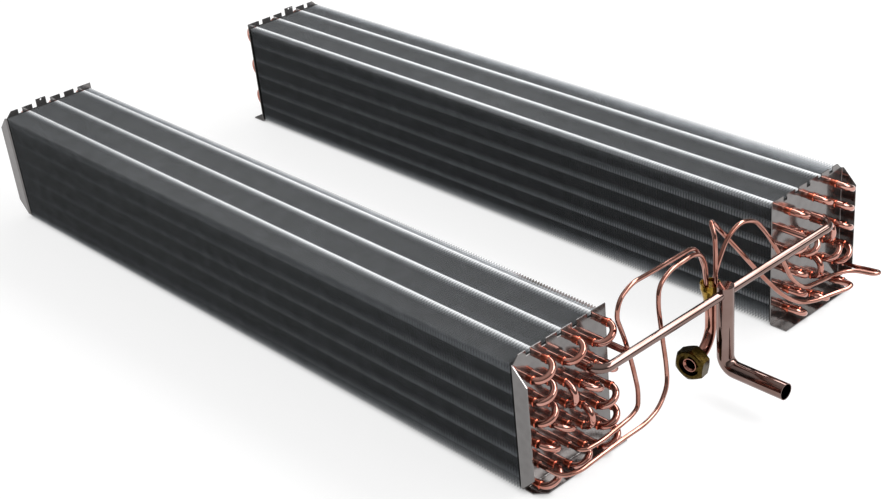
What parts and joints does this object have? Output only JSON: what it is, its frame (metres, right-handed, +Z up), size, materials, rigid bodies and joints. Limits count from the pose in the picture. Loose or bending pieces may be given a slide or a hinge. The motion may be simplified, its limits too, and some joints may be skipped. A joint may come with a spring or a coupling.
{
  "type": "finned heat exchanger coil",
  "caption": "Evaporator coil of two parallel finned slabs, with staggered tubes, folded end plates, a shared suction header and a liquid distributor with thin feed tubes.",
  "frame": {"origin": "middle of the footprint, at the underside of the feet", "axes": "+X along the coil tubes, towards the suction outlet; +Y across the slabs; +Z up"},
  "size_m": [1.4234, 0.689, 0.2456],
  "materials": {
    "copper_tube": "bright drawn copper",
    "brass": "machined brass",
    "fin_sheet": "rolled sheet",
    "galvanised_sheet": "zinc coated sheet"
  },
  "bodies": {
    "root": {"front_left_end_plate": "galvanised_sheet", "front_right_end_plate": "galvanised_sheet", "front_fins": "fin_sheet", "front_hairpin_tubes": "copper_tube", "front_return_bends": "copper_tube", "front_suction_header": "copper_tube", "front_header_coupling": "copper_tube", "front_header_branch": "copper_tube", "rear_left_end_plate": "galvanised_sheet", "rear_right_end_plate": "galvanised_sheet", "rear_fins": "fin_sheet", "rear_hairpin_tubes": "copper_tube", "rear_return_bends": "copper_tube", "rear_suction_header": "copper_tube", "rear_header_coupling": "copper_tube", "rear_header_branch": "copper_tube", "suction_riser": "copper_tube", "riser_cap": "copper_tube", "liquid_distributor": "brass", "liquid_inlet_tube": "copper_tube", "union_nut": "brass", "rear_outer_liquid_tube": "copper_tube", "rear_inner_liquid_tube": "copper_tube", "front_inner_liquid_tube": "copper_tube", "front_outer_liquid_tube": "copper_tube"}
  },
  "joints": []
}
